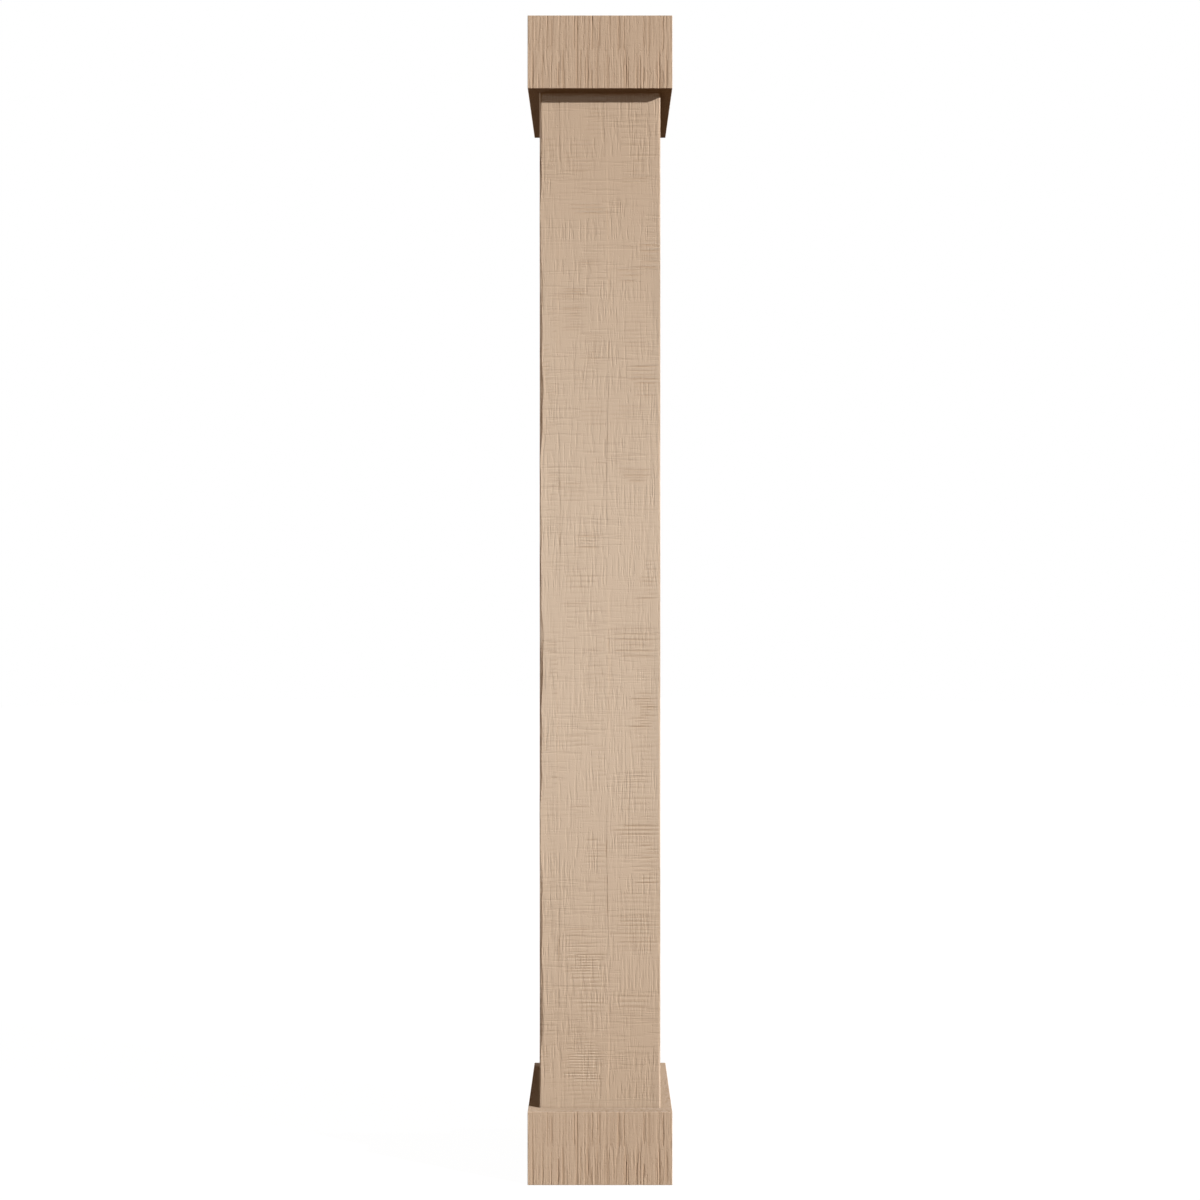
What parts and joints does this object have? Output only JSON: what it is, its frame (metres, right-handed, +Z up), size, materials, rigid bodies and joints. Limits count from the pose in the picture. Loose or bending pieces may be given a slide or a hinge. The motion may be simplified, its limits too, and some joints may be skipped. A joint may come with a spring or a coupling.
{
  "type": "column wrap",
  "caption": "Square column wrap with a rough-sawn timber face: a hollow shaft that closes round a standing post, between plain box collars at head and foot.",
  "frame": {"origin": "on the floor, at the middle of the foot collar's underside, on the shaft's centre line", "axes": "+Z up along the shaft, -Y out of the front face, +Y out of the back that the closing boards fill"},
  "size_m": [0.302, 0.302, 2.4384],
  "materials": {
    "shaft_primer": "rigid moulded foam with a rough-sawn timber face, in matt tan primer",
    "collar_primer": "rigid moulded foam with deeper saw marks across the boards, in matt tan primer"
  },
  "bodies": {
    "root": {"shaft": "shaft_primer", "shaft_back_panel": "shaft_primer", "base": "collar_primer", "base_back_board": "collar_primer", "capital": "collar_primer", "capital_back_board": "collar_primer"}
  },
  "joints": []
}
